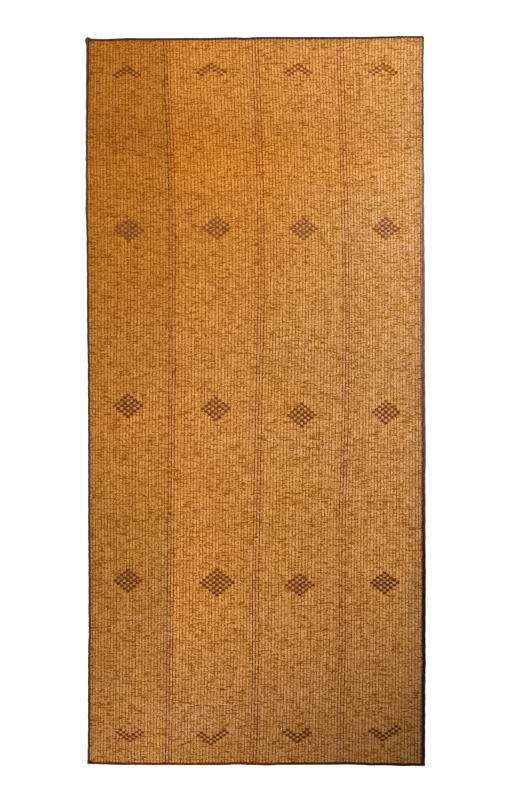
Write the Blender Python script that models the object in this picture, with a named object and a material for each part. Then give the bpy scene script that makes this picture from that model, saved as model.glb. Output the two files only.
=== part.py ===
"""A flat mat of thin reeds, laced lengthwise with leather and bound in leather at its edges.

Metres, +Z up. The origin is on the surface that the mat lies on, under its middle, and the mat is
long along Y. The reeds run along X and the laces run along Y, as ribs of the field.
"""

import bisect

import bmesh
import bpy

COLLECTION = "tuareg_mat"
MM = 0.001

# The lines that run the length of the mat, measured across it at stations along it, in millimetres.
# Each stripe is three laces, and its column gives the middle one. The last two columns say how far
# in the binding reaches on each side.
STATION, LEFT, STRIPE_1, STRIPE_2, STRIPE_3, RIGHT, LEFT_BINDING, RIGHT_BINDING = range(8)
LENGTHWISE_LINES = (
    (-1890, -874, -453, -16, 438, 880, 12, 16),
    (-1575, -872, -449, -5, 442, 881, 11.5, 16),
    (-1260, -871, -446, -1, 449, 882, 11, 16),
    (-945, -869, -443, -1, 449, 883.5, 11, 15.5),
    (-630, -871, -440.5, 4, 450, 882, 10.5, 15),
    (-315, -871, -439, 10, 458, 883, 10.5, 15),
    (0, -872, -435.5, 16, 466, 881, 10, 14.5),
    (315, -876, -434.5, 23.5, 469, 879, 10, 14),
    (630, -878, -434.5, 28.5, 468, 879, 10, 13),
    (945, -880.5, -434, 26, 463, 875, 10, 10),
    (1260, -883.5, -440.5, 19, 455, 872.5, 10, 7.5),
    (1575, -883, -454.5, 7.5, 446, 872, 10, 6.5),
    (1730, -882, -459, 1, 441, 871, 10, 6.5),
    (1890, -880, -464, -5, 438, 874, 10.5, 6.5),
)

# How far each panel's middle column lies from half-way between the lines beside it, at the same stations,
# in millimetres. The columns between share the bow.
PANEL_BOWS = (
    (-0.5, -1, 1, -10),
    (0, -1, 2, -5.5),
    (0, 2, 1.5, -5.5),
    (-1, 4, 5.5, -5.5),
    (-1.5, 2.5, 5, -2.5),
    (-5, 3, 2.5, -3.5),
    (-2, 3.5, 0, -5.5),
    (2, 2.5, 1.5, -4.5),
    (6.5, 3.5, 4, -3),
    (6, 3, 4, -2.5),
    (5, 1.5, 4, -2.5),
    (6, -1, 1.5, -3.5),
    (9.5, -1, 0, -2.5),
    (10.5, -1.5, 0, -1),
)

# The two ends of the mat, measured along it where each lengthwise line meets them, in millimetres,
# with how far in the binding reaches there.
LINE, BOTTOM, TOP, BOTTOM_BINDING, TOP_BINDING = range(5)
ENDS = (
    (LEFT, -1887, 1885, 11, 11.5),
    (STRIPE_1, -1892, 1887, 10.5, 11),
    (STRIPE_2, -1892, 1892, 10.5, 9.5),
    (STRIPE_3, -1891, 1893, 10.5, 8),
    (RIGHT, -1897.5, 1897.5, 11, 7),
)

# The weave.
COLUMNS_PER_PANEL = 25
STRIPE_LACES = 3
LACE_PITCH_IN_STRIPE = 15.6 * MM
REED_TOP = 4.2 * MM
LACE_TOP = 5.0 * MM
STRIPE_LACE_TOP = 5.3 * MM

# The leather binding: one thickness folded round a thinner edge of the field.
LEATHER = 1.0 * MM
GAP = 0.3 * MM
BINDING_HEIGHT = 5.4 * MM
BINDING_ROUND = 1.6 * MM
BINDING_ROUND_CUT = 0.3 * BINDING_ROUND
TONGUE_BOTTOM = LEATHER + GAP
TONGUE_TOP = BINDING_HEIGHT - LEATHER - GAP

# An edge's place across the mat depends on its place along it and the other way round, so a corner
# is worked out this many times over.
EDGE_ROUNDS = 3

# The field starts as a square grid that reaches this far each way, whose points are then placed.
GRID_HALF = 1.0

# Faces of the underside that turn less than this against each other, in radians, are one flat face.
FLAT_ANGLE = 0.0005

MATERIALS = {
    "reed": ((0.50, 0.27, 0.07, 1.0), 0.62),
    "leather": ((0.045, 0.022, 0.014, 1.0), 0.55),
}


def read_along(positions, values, at):
    """The value at a position between the ones given, in a straight line between neighbours."""
    i = min(max(bisect.bisect_right(positions, at), 1), len(positions) - 1)
    start, end = positions[i - 1], positions[i]
    share = (at - start) / (end - start)
    return values[i - 1] + share * (values[i] - values[i - 1])


def column_of(table, number):
    return [row[number] for row in table]


def along(number, y):
    """A column of the lengthwise table at a place along the mat, in metres."""
    return read_along(column_of(LENGTHWISE_LINES, STATION), column_of(LENGTHWISE_LINES, number), y / MM) * MM


def end_places(number):
    """Where the lengthwise lines meet an end of the mat, across it."""
    return [along(row[LINE], row[number] * MM) for row in ENDS]


def at_end(end, number, x):
    """A column of the table of ends, read at a place across that end, in metres."""
    return read_along(end_places(end), column_of(ENDS, number), x) * MM


def anchors_across(y):
    """The outer edges and each stripe's first and last lace, from left to right, at a place along the mat."""
    half = LACE_PITCH_IN_STRIPE * (STRIPE_LACES - 1) / 2
    places = [along(LEFT, y)]
    for stripe in (STRIPE_1, STRIPE_2, STRIPE_3):
        places += [along(stripe, y) - half, along(stripe, y) + half]
    return places + [along(RIGHT, y)]


def lattice_counts():
    """How many columns of reed lie before each anchor."""
    counts = [0]
    for step in (COLUMNS_PER_PANEL, STRIPE_LACES - 1) * 3 + (COLUMNS_PER_PANEL,):
        counts.append(counts[-1] + step)
    return counts


COUNTS = lattice_counts()
COLUMNS = COUNTS[-1]


def panel_bow(panel, y):
    """How far a panel's middle column is bowed aside at a place along the mat, in metres."""
    return read_along(column_of(LENGTHWISE_LINES, STATION), column_of(PANEL_BOWS, panel), y / MM) * MM


def column_x(column, y):
    """How far across the mat a column's line lies, at a place along it."""
    places = anchors_across(y)
    i = min(bisect.bisect_right(COUNTS, column), len(COUNTS) - 1) - 1
    share = (column - COUNTS[i]) / (COUNTS[i + 1] - COUNTS[i])
    straight = places[i] + share * (places[i + 1] - places[i])
    in_panel = i % 2 == 0
    return straight + panel_bow(i // 2, y) * 4 * share * (1 - share) if in_panel else straight


def rib_height(column):
    """The height of the field's top at a column's lace, or half-way to the next lace."""
    if column % 1:
        return REED_TOP
    in_stripe = any(COUNTS[i] <= column <= COUNTS[i + 1] for i in (1, 3, 5))
    return STRIPE_LACE_TOP if in_stripe else LACE_TOP


def side_edges(y):
    """The tongue's outer edge and the body's edge on both sides, at a place along the mat."""
    left, right = along(LEFT, y), along(RIGHT, y)
    return (
        left + LEATHER + GAP,
        left + along(LEFT_BINDING, y) + GAP,
        right - along(RIGHT_BINDING, y) - GAP,
        right - LEATHER - GAP,
    )


def end_edges(x):
    """The tongue's outer edge and the body's edge at both ends, at a place across the mat."""
    bottom, top = at_end(BOTTOM, BOTTOM, x), at_end(TOP, TOP, x)
    return (
        bottom + LEATHER + GAP,
        bottom + at_end(BOTTOM, BOTTOM_BINDING, x) + GAP,
        top - at_end(TOP, TOP_BINDING, x) - GAP,
        top - LEATHER - GAP,
    )


def field_columns():
    """The field's points across the mat: the column, which edge if any, and if it is on the tongue."""
    start = [(0, 0, True), (0, 1, True), (0.5, 1, False)]
    inner = [(half / 2, None, False) for half in range(2, 2 * COLUMNS - 1)]
    end = [(COLUMNS - 0.5, 2, False), (COLUMNS, 2, True), (COLUMNS, 3, True)]
    return start + inner + end


def field_rows():
    """The field's points along the mat: the place, which end's edge if any, and if it is on the tongue."""
    stations = column_of(LENGTHWISE_LINES, STATION)
    bottom, top = stations[0] * MM, stations[-1] * MM
    start = [(bottom, 0, True), (bottom, 1, True), (bottom, 1, False)]
    inner = [(station * MM, None, False) for station in stations[1:-1]]
    end = [(top, 2, False), (top, 2, True), (top, 3, True)]
    return start + inner + end


def field_point(column, row):
    """Where one point of the field lies in plan, and the heights of its top and underside."""
    number, side, side_tongue = column
    y, end, end_tongue = row
    for _ in range(EDGE_ROUNDS):
        x = column_x(number, y) if side is None else side_edges(y)[side]
        y = y if end is None else end_edges(x)[end]
    if side_tongue or end_tongue:
        return x, y, TONGUE_TOP, TONGUE_BOTTOM
    return x, y, rib_height(number), 0.0


def new_object(name, mesh, material):
    mesh.materials.append(material)
    made = bpy.data.objects.new(name, mesh)
    bpy.data.collections[COLLECTION].objects.link(made)
    return made


def finish_mesh(name, bm):
    bmesh.ops.recalc_face_normals(bm, faces=bm.faces)
    mesh = bpy.data.meshes.new(name)
    bm.to_mesh(mesh)
    bm.free()
    return mesh


def build_field(material):
    """The woven sheet: a ribbed grid over a flat underside, with a thin tongue all round."""
    columns, rows = field_columns(), field_rows()
    bm = bmesh.new()
    last_column, last_row = len(columns) - 1, len(rows) - 1
    bmesh.ops.create_grid(bm, x_segments=last_column, y_segments=last_row, size=GRID_HALF)
    underside = list(bm.verts)
    extruded = bmesh.ops.extrude_face_region(bm, geom=list(bm.faces), use_keep_orig=True)
    top = {item for item in extruded["geom"] if isinstance(item, bmesh.types.BMVert)}
    for vert in list(bm.verts):
        column = columns[round((vert.co.x / GRID_HALF + 1) / 2 * last_column)]
        row = rows[round((vert.co.y / GRID_HALF + 1) / 2 * last_row)]
        x, y, upper, lower = field_point(column, row)
        vert.co = (x, y, upper if vert in top else lower)
    flat = [vert for vert in underside if vert.co.z == 0]
    flat_edges = {edge for vert in flat for edge in vert.link_edges if edge.other_vert(vert).co.z == 0}
    bmesh.ops.dissolve_limit(bm, angle_limit=FLAT_ANGLE, verts=flat, edges=list(flat_edges))
    return new_object("reed_field", finish_mesh("reed_field", bm), material)


def strip_section(width):
    """The folded leather in section: how far in from the mat's edge, and how high."""
    corner, soft = BINDING_ROUND, BINDING_ROUND_CUT
    outside = [
        (width, 0),
        (corner, 0),
        (soft, soft),
        (0, corner),
        (0, BINDING_HEIGHT - corner),
        (soft, BINDING_HEIGHT - soft),
        (corner, BINDING_HEIGHT),
        (width, BINDING_HEIGHT),
    ]
    inside = [
        (width, BINDING_HEIGHT - LEATHER),
        (LEATHER, BINDING_HEIGHT - LEATHER),
        (LEATHER, LEATHER),
        (width, LEATHER),
    ]
    return outside + inside


def side_strip(side):
    """The left or right strip, as its section at each end and at each station between."""
    line, binding, turn, row = (
        (LEFT, LEFT_BINDING, 1, ENDS[0]) if side == "left" else (RIGHT, RIGHT_BINDING, -1, ENDS[-1])
    )
    inner = column_of(LENGTHWISE_LINES, STATION)[1:-1]
    for station in (row[BOTTOM], *inner, row[TOP]):
        y = station * MM
        yield [(along(line, y) + turn * inward, y, z) for inward, z in strip_section(along(binding, y))]


def between_sides(row, line, turn, binding):
    """Where an end strip stops short of the side strip at one of its ends, across the mat."""
    edge = row[line] * MM
    places = []
    for y in (edge, edge + turn * row[binding] * MM):
        if row[LINE] == LEFT:
            places.append(along(LEFT, y) + along(LEFT_BINDING, y) + GAP)
        else:
            places.append(along(RIGHT, y) - along(RIGHT_BINDING, y) - GAP)
    return min(places, key=abs)


def end_strip(end):
    """The top or bottom strip, between the side strips, as its section at each line that meets it."""
    line, binding, turn = (TOP, TOP_BINDING, -1) if end == "top" else (BOTTOM, BOTTOM_BINDING, 1)
    left, right = (between_sides(row, line, turn, binding) for row in (ENDS[0], ENDS[-1]))
    for x in (left, *end_places(line)[1:-1], right):
        edge = at_end(line, line, x)
        yield [(x, edge + turn * inward, z) for inward, z in strip_section(at_end(line, binding, x))]


def build_strip(name, sections, material):
    """One strip of leather, as a run of sections joined side to side and closed at both ends."""
    bm = bmesh.new()
    loops = [[bm.verts.new(point) for point in section] for section in sections]
    for near, far in zip(loops, loops[1:]):
        for i in range(len(near)):
            bm.faces.new((near[i - 1], near[i], far[i], far[i - 1]))
    bm.faces.new(loops[0])
    bm.faces.new(loops[-1])
    return new_object(name, finish_mesh(name, bm), material)


def make_material(name):
    colour, roughness = MATERIALS[name]
    material = bpy.data.materials.new(name)
    material.use_nodes = True
    shader = material.node_tree.nodes["Principled BSDF"]
    shader.inputs["Base Color"].default_value = colour
    shader.inputs["Roughness"].default_value = roughness
    shader.inputs["Metallic"].default_value = 0.0
    material.diffuse_color = colour
    return material


def main():
    for old in list(bpy.data.objects):
        bpy.data.objects.remove(old)
    collection = bpy.data.collections.new(COLLECTION)
    bpy.context.scene.collection.children.link(collection)
    leather = make_material("leather")
    build_field(make_material("reed"))
    for side in ("left", "right"):
        build_strip(f"binding_{side}", side_strip(side), leather)
    for end in ("top", "bottom"):
        build_strip(f"binding_{end}", end_strip(end), leather)


main()
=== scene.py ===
"""The looks of the mat: reeds, leather laces, motifs, folded binding and stitches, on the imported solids.

Metres, in the frame's axes: +Z up, the mat long along Y, its reeds along X, the origin on the floor under
its middle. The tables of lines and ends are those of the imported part, in millimetres.
"""

import math

import bpy
import numpy as np
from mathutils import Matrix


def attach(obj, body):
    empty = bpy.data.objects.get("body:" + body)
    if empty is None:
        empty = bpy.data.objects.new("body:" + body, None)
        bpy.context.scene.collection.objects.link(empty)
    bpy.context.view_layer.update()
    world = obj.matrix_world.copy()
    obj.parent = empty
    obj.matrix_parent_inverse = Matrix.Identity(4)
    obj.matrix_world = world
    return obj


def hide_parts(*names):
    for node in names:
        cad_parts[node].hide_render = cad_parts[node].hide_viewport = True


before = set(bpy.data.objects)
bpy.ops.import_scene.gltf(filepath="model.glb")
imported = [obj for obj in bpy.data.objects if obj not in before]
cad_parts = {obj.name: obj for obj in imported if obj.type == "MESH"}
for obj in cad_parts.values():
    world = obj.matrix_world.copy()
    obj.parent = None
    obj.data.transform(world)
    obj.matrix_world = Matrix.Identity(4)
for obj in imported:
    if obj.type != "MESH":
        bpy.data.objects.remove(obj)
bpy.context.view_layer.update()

MM = 0.001

# The lines that run the length of the mat, measured across it at stations along it, in millimetres.
# Each stripe is three laces, and its column gives the middle one. The last two columns say how far
# in the binding reaches on each side.
STATION, LEFT, STRIPE_1, STRIPE_2, STRIPE_3, RIGHT, LEFT_BINDING, RIGHT_BINDING = range(8)
LENGTHWISE_LINES = np.array((
    (-1890, -874, -453, -16, 438, 880, 12, 16),
    (-1575, -872, -449, -5, 442, 881, 11.5, 16),
    (-1260, -871, -446, -1, 449, 882, 11, 16),
    (-945, -869, -443, -1, 449, 883.5, 11, 15.5),
    (-630, -871, -440.5, 4, 450, 882, 10.5, 15),
    (-315, -871, -439, 10, 458, 883, 10.5, 15),
    (0, -872, -435.5, 16, 466, 881, 10, 14.5),
    (315, -876, -434.5, 23.5, 469, 879, 10, 14),
    (630, -878, -434.5, 28.5, 468, 879, 10, 13),
    (945, -880.5, -434, 26, 463, 875, 10, 10),
    (1260, -883.5, -440.5, 19, 455, 872.5, 10, 7.5),
    (1575, -883, -454.5, 7.5, 446, 872, 10, 6.5),
    (1730, -882, -459, 1, 441, 871, 10, 6.5),
    (1890, -880, -464, -5, 438, 874, 10.5, 6.5),
))

# How far each panel's middle column lies from half-way between the lines beside it, at the same stations,
# in millimetres. The columns between share the bow.
PANEL_BOWS = np.array((
    (-3.5, -1, 1, -7.5),
    (-3, -1, 2, -3),
    (-3, 2, 1.5, -3),
    (-4, 4, 5.5, -3),
    (-4.5, 2.5, 5, 0),
    (-8, 3, 2.5, -1),
    (-5, 3.5, 0, -3),
    (-1, 2.5, 1.5, -2),
    (3.5, 3.5, 4, -0.5),
    (3, 3, 4, 0),
    (2, 1.5, 4, 0),
    (3, -1, 1.5, -1),
    (6.5, -1, 0, 0),
    (7.5, -1.5, 0, 1.5),
))

# How far the outermost lines lie in from the mat's edges, and how far the columns of each panel are spread
# towards its sides.
LEFT_INSET = 6.0 * MM
RIGHT_INSET = 4.0 * MM
COLUMN_SPREAD = 1.3 * MM

# How far the first and last reed lie in from the mat's ends, and how far the reeds run on to the left past
# the outermost line, as a share of a column. Both end under the binding.
END_INSET = 5.0 * MM
LEFT_RUN_ON = 0.12

# The two ends of the mat, measured along it where each lengthwise line meets them, in millimetres,
# with how far in the binding reaches there.
LINE, BOTTOM, TOP, BOTTOM_BINDING, TOP_BINDING = range(5)
ENDS = np.array((
    (LEFT, -1887, 1885, 11, 11.5),
    (STRIPE_1, -1892, 1887, 10.5, 11),
    (STRIPE_2, -1892, 1892, 10.5, 9.5),
    (STRIPE_3, -1891, 1893, 10.5, 8),
    (RIGHT, -1897.5, 1897.5, 11, 7),
))

# Small waves in the edges: the place along the edge, the half width, and the rise towards +X at the sides
# or +Y at the ends, in millimetres.
LEFT_WAVES = (
    (-1892, 20, -3.6),
    (1150, 60, -1.2),
    (994, 75, -3.4),
    (215, 80, 1.4),
    (-1190, 70, 2.4),
    (-1700, 60, 1.0),
)
RIGHT_WAVES = (
    (1150, 70, 3.2),
    (990, 60, 1.4),
    (-250, 60, 1.2),
    (-410, 60, -1.8),
    (-1350, 70, 1.8),
)
TOP_WAVES = (
    (-790, 70, -2.8),
    (-656, 40, 1.8),
    (-240, 90, -1.6),
    (-53, 34, -3.0),
    (93, 60, 0.8),
    (575, 45, -1.2),
    (758, 40, 1.5),
)
BOTTOM_WAVES = (
    (-698, 80, -2.2),
    (-545, 50, -1.0),
    (-95, 50, 2.8),
    (60, 34, -2.2),
    (480, 50, 1.8),
    (600, 24, -1.6),
    (758, 34, -2.2),
)

# The weave.
COLUMNS_PER_PANEL = 25
STRIPE_LACES = 3
LACE_PITCH_IN_STRIPE = 15.6 * MM
COUNTS = np.cumsum([0] + [COLUMNS_PER_PANEL, STRIPE_LACES - 1] * 3 + [COLUMNS_PER_PANEL])
COLUMNS = int(COUNTS[-1])
PANELS = 4

# The reeds: how many there are, how unlike their widths are, the heights that they fill, how much wider they
# are than their share, how far they sag or rise, and the least share of the height that one fills.
REEDS = 945
REED_SPREAD = 0.22
REED_BOTTOM, REED_TOP = 1.0 * MM, 4.2 * MM
REED_LAP = 1.03
REED_SAG_SPREAD = 0.07 * MM
REED_LEAST_HEIGHT = 0.94

# The reeds bow a little along the mat: how far, over what length of a reed, and how many times that shifts
# through on the way up the mat.
REED_BOW = 1.1 * MM
REED_BOW_LENGTH = 760 * MM
REED_BOW_TURNS = 3.1

# The laces: over some reeds, then under one. The fewest and the most that each kind goes over, where they
# start, their widths and heights, how far they rise past a reed, and how they stray from a straight line.
FIELD_OVER = (3, 6)
STRIPE_OVER = (7, 12)
LACE_END_SHARE = 0.0004
LACE_WIDTH = 4.3 * MM
STRIPE_LACE_WIDTH = 5.2 * MM
LACE_THICKNESS = 0.85 * MM
LACE_TOP = 5.0 * MM
STRIPE_LACE_TOP = 5.25 * MM
LACE_UNDER = 0.05 * MM
LACE_LEAD = 0.6 * MM
LACE_WANDER = 0.55 * MM
LACE_WANDER_LENGTHS = (0.35, 0.9)
LACE_SHIFT_SPREAD = 0.4 * MM

# How much each lace and each run of it varies in width and in tone, how much of its width it keeps under a
# reed, how much higher it may lie, its least thickness, and its top's width against its bottom's.
LACE_WIDTHS = (0.95, 1.05)
RUN_WIDTHS = (0.88, 1.12)
WIDTH_UNDER = 0.8
LACE_TONES = (0.92, 1.06)
RUN_TONES = (0.9, 1.09)
LACE_LIFT = 0.12 * MM
LACE_LEAST_THICKNESS = 0.85
LACE_TOP_SHARE = 0.86

# How much darker the laces are inside a motif.
MOTIF_STAIN = 0.35

# The motifs' leather patches. Each fills one column between two laces.
PATCH_HEIGHT_SHARE = 0.97
PATCH_EDGE_TOP = 5.1 * MM
PATCH_CROWN = 5.5 * MM
PATCH_BOTTOM = 3.9 * MM
PATCH_BEVEL = 0.7 * MM
PATCH_TUCK = 0.5 * MM

# The binding.
BINDING_HEIGHT = 5.4 * MM
LEATHER = 1.0 * MM
STITCH_PITCH = 16.5 * MM
STATIONS_PER_STITCH = 3
CORNER_RADIUS = 4.0 * MM
BOTTOM_CORNER_RADIUS = 1.2 * MM

# How much further in the leather reaches than in the solids: at the left and right end of the top strip, at
# those of the bottom strip, at the top of the left strip, and along the right one below its top quarter and
# in it.
END_CURL = {TOP: (0.8 * MM, 2.4 * MM), BOTTOM: (1.0 * MM, 2.2 * MM)}
TOP_LEFT_CURL = 5.0 * MM
RIGHT_CURL = (2.2 * MM, 1.0 * MM)

# Where these two change, as shares of half the mat's length, and how much of a side strip's width an end
# strip runs in under it.
LEFT_CURL_PLACE = (0.65, 0.9)
RIGHT_CURL_PLACE = (0.45, 0.6)
END_STRIP_TUCK = 0.4

# The seeds of what is drawn at random.
LACE_PATH_SEED, REED_WIDTH_SEED, REED_SEED, MOTIF_SEED, STITCH_SEED = 11, 5, 7, 23, 41
PANEL_LACE_SEED, STRIPE_LACE_SEED, STRIP_SEED = 100, 200, 300


def linear(red, green, blue):
    """A colour given as 8-bit screen values, as the linear values that Blender takes."""
    shares = np.array((red, green, blue)) / 255
    return tuple(np.where(shares <= 0.04045, shares / 12.92, ((shares + 0.055) / 1.055) ** 2.4))


def smoothstep(low, high, at):
    share = np.clip((at - low) / (high - low), 0, 1)
    return share * share * (3 - 2 * share)


def blend(first, second, share):
    """A colour or a number between two, by the share of the second."""
    return np.array(first) + share * (np.array(second) - np.array(first))


def hump(at, middle, half):
    """A smooth rise from 0 to 1 and back, with its half width."""
    return np.exp(-(((at - middle) / half) ** 2))


def read_smooth(positions, values, at):
    """The value at each place, on a smooth curve through the values at the positions."""
    slopes = np.gradient(values, positions)
    i = np.clip(np.searchsorted(positions, at) - 1, 0, len(positions) - 2)
    width = positions[i + 1] - positions[i]
    t = (at - positions[i]) / width
    start = (1 + 2 * t) * (1 - t) ** 2 * values[i] + t * (1 - t) ** 2 * width * slopes[i]
    end = t**2 * (3 - 2 * t) * values[i + 1] + t**2 * (t - 1) * width * slopes[i + 1]
    return start + end


def along(number, y):
    """A column of the lengthwise table at places along the mat, in metres."""
    return read_smooth(LENGTHWISE_LINES[:, STATION], LENGTHWISE_LINES[:, number], y / MM) * MM


def humps(table, at):
    """The sum of a table's humps: the middle, the half width and the rise of each."""
    return sum(rise * hump(at, middle, half) for middle, half, rise in table)


def ramps(table, at):
    """The sum of a table's ramps: where each starts and ends, and its rise."""
    return sum(rise * smoothstep(start, end, at) for start, end, rise in table)


def waves(table, places):
    """The sum of the small waves in an edge at places along it, in metres."""
    return humps(table, places / MM) * MM


def at_end(end, number, x):
    """A column of the table of ends, read at places across that end, in metres."""
    places = np.array([along(int(row[LINE]), row[end] * MM) for row in ENDS])
    return read_smooth(places, ENDS[:, number], x) * MM


def anchors_across(y):
    """The outermost lines and each stripe's first and last lace, from left to right, at places along it."""
    half = LACE_PITCH_IN_STRIPE * (STRIPE_LACES - 1) / 2
    places = [along(LEFT, y) + LEFT_INSET]
    for stripe in (STRIPE_1, STRIPE_2, STRIPE_3):
        places += [along(stripe, y) - half, along(stripe, y) + half]
    return places + [along(RIGHT, y) - RIGHT_INSET]


def column_x(column, y):
    """How far across the mat each column's line lies, at places along it."""
    i = np.clip(np.searchsorted(COUNTS, column, side="right") - 1, 0, len(COUNTS) - 2)
    places = anchors_across(y)
    low, high = np.choose(i, places[:-1]), np.choose(i, places[1:])
    share = (column - COUNTS[i]) / (COUNTS[i + 1] - COUNTS[i])
    stations = LENGTHWISE_LINES[:, STATION]
    bows = [read_smooth(stations, PANEL_BOWS[:, panel], y / MM) * MM for panel in range(PANELS)]
    bow = np.choose(i // 2, bows) * 4 * share * (1 - share) - COLUMN_SPREAD * np.sin(2 * math.pi * share)
    return low + share * (high - low) + np.where(i % 2 == 0, bow, 0.0)


def row_y(share, x):
    """Where a line across the mat lies, given as a share of the way from the bottom end to the top."""
    bottom = at_end(BOTTOM, BOTTOM, x) + END_INSET
    top = at_end(TOP, TOP, x) - END_INSET
    turn = 2 * math.pi * (x / REED_BOW_LENGTH + REED_BOW_TURNS * share)
    return bottom + share * (top - bottom) + REED_BOW * np.sin(turn) * np.sin(math.pi * share)


def weave_point(column, share):
    """Where a column's line meets a line across the mat."""
    column, share = np.broadcast_arrays(np.asarray(column, float), np.asarray(share, float))
    y = (share - 0.5) * (ENDS[2, TOP] - ENDS[2, BOTTOM]) * MM
    for _ in range(2):
        x = column_x(column, y)
        y = row_y(share, x)
    return x, y


# How each lace strays from its straight line.
lace_rng = np.random.default_rng(LACE_PATH_SEED)
LACE_SHIFT = lace_rng.normal(0, LACE_SHIFT_SPREAD, COLUMNS + 1)
LACE_PHASE = lace_rng.uniform(0, 2 * math.pi, COLUMNS + 1)
LACE_WAVE = lace_rng.uniform(*LACE_WANDER_LENGTHS, COLUMNS + 1)


def lace_x(column, y):
    """How far across the mat a lace's middle lies, at places along it."""
    wave = LACE_WANDER * np.sin(2 * math.pi * y / LACE_WAVE[column] + LACE_PHASE[column])
    return column_x(np.full(np.shape(y), column), y) + LACE_SHIFT[column] + wave


def in_stripe(column):
    return any(COUNTS[i] <= column <= COUNTS[i + 1] for i in (1, 3, 5))


# The colours that drift over the mat, from the photograph's light, age and wear.
HALF_WIDTH = 0.88
HALF_LENGTH = 1.89

# Where the tables below have three numbers, a ramp is given by its start, end and rise, and a hump by its
# middle, half width and rise, at places that are shares of half the mat's length, or of half its width.

# The brightness, as linear red: of the first panel, which is browner and lighter away from its edge, and of
# the others.
FIRST_BRIGHT = 0.405
FIRST_RAMPS = ((0.5, 0.75, -0.02), (-0.7, -0.9, 0.03))
FIRST_HUMPS = ((-0.08, 0.25, 0.045),)
FIRST_RAMPS_ACROSS = ((-0.86, -0.7, 0.08),)
OTHERS_BRIGHT = 0.528
OTHERS_RAMPS = ((0.3, 0.7, 0.022), (-0.5, -1.05, -0.15))

# How much brighter the other panels get from the middle to the right edge, which at the top rises to a most
# and at the bottom turns to darker. The rim inside the right binding is brighter still, the more so above.
TILT_RISE = 0.18
TILT_MOST = 0.085
TILT_FALL = 0.17
TILT_HUMPS = ((-0.6, 0.2, -0.03),)
RIM = (0.86, 0.93)
RIM_BRIGHT = 0.07
RIM_RAMPS = ((-0.3, 0.3, 0.14),)

# The shade inside the top binding.
TOP_SHADE = ((0.984, 0.991, -0.15),)

# Bands across the mat that are lighter or darker: middle and half width in millimetres, and the change.
BANDS = (
    (1420, 130, -0.07),
    (1201, 60, 0.04),
    (195, 70, -0.03),
    (-130, 60, 0.04),
    (-629, 70, -0.04),
    (-960, 80, -0.03),
)

# The paleness, from 0 for golden to 1 for sand-coloured: its mean, how it changes along the mat, and at
# both rims. A golden band near the top fades out towards the sides.
PALENESS = 0.5
PALE_RAMPS = ((0.0, -0.15, 0.07),)
PALE_HUMPS = ((0.08, 0.2, 0.17),)
PALE_RIMS = ((0.86, 0.93, 0.12), (-0.88, -0.95, 0.12))
GOLDEN_BAND = ((0.69, 0.1, -0.22),)
GOLDEN_BAND_FADE = 0.9
PALEST = 1.1

# How much paler it gets from the middle to the right: half-way along the mat, the rise towards the top, and
# the least and the most.
PALE_TILT = 0.36
PALE_TILT_RISE = 0.42
PALE_TILT_RANGE = (-0.1, 0.5)

# Worn and stained patches, in millimetres: their middle across and along the mat, half width and half
# length, and how much paler they are, or browner where it is below 0.
STAINS = (
    (640, 900, 230, 180, 0.24),
    (0, 950, 260, 150, -0.12),
    (-260, 1250, 200, 250, -0.08),
    (-650, 390, 250, 120, 0.08),
    (150, 20, 120, 100, -0.12),
    (-250, -190, 180, 130, 0.08),
    (-300, -1600, 260, 130, 0.14),
    (-860, -1450, 70, 420, -0.2),
)

# Green and blue as shares of red: for golden, and how much more for sand-coloured. Blue grows faster, and
# more of it shows towards the bottom.
GREEN_SHARES = (0.345, 0.16)
BLUE_SHARES = (0.031, 0.125)
BLUE_POWER = 1.5
BLUE_RAMPS = ((-0.3, -0.9, 0.2),)


def field_brightness(across, up, in_first):
    """How bright the field is at places given as shares of half its width and half its length."""
    rise = np.minimum(TILT_RISE * up, TILT_MOST)
    fall = humps(TILT_HUMPS, up) - TILT_FALL * up**2
    others = OTHERS_BRIGHT + ramps(OTHERS_RAMPS, up) + np.where(up > 0, rise, fall) * across
    others = others * (1 + smoothstep(*RIM, across) * (RIM_BRIGHT + ramps(RIM_RAMPS, up)))
    first = FIRST_BRIGHT + humps(FIRST_HUMPS, up) + ramps(FIRST_RAMPS, up)
    return np.where(in_first, first * (1 + ramps(FIRST_RAMPS_ACROSS, across)), others)


def field_paleness(across, up):
    """How pale the field is at such places."""
    pale = PALENESS + humps(PALE_HUMPS, up) + ramps(PALE_RAMPS, up) + ramps(PALE_RIMS, across)
    pale = pale + humps(GOLDEN_BAND, up) * (1 - GOLDEN_BAND_FADE * across**2)
    pale = pale + np.clip(PALE_TILT + PALE_TILT_RISE * up, *PALE_TILT_RANGE) * across
    x, y = across * HALF_WIDTH / MM, up * HALF_LENGTH / MM
    for middle_x, middle_y, half_width, half_length, change in STAINS:
        pale = pale + change * hump(x, middle_x, half_width) * hump(y, middle_y, half_length)
    return np.clip(pale, 0, PALEST)


def field_drift(x, y):
    """The field's mean colour at places on it, as linear red, green and blue."""
    across, up = x / HALF_WIDTH, y / HALF_LENGTH
    in_first = x < column_x(np.full(np.shape(y), COUNTS[1]), y) + LACE_PITCH_IN_STRIPE
    bright = field_brightness(across, up, in_first) * (1 + ramps(TOP_SHADE, up))
    for middle, half, change in BANDS:
        bright = bright * (1 + change * hump(y / MM, middle, half))
    pale = field_paleness(across, up)
    green = GREEN_SHARES[0] + GREEN_SHARES[1] * pale
    blue = (BLUE_SHARES[0] + BLUE_SHARES[1] * pale**BLUE_POWER) * (1 + ramps(BLUE_RAMPS, up))
    return np.stack([bright, bright * green, bright * blue], axis=-1)


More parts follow.
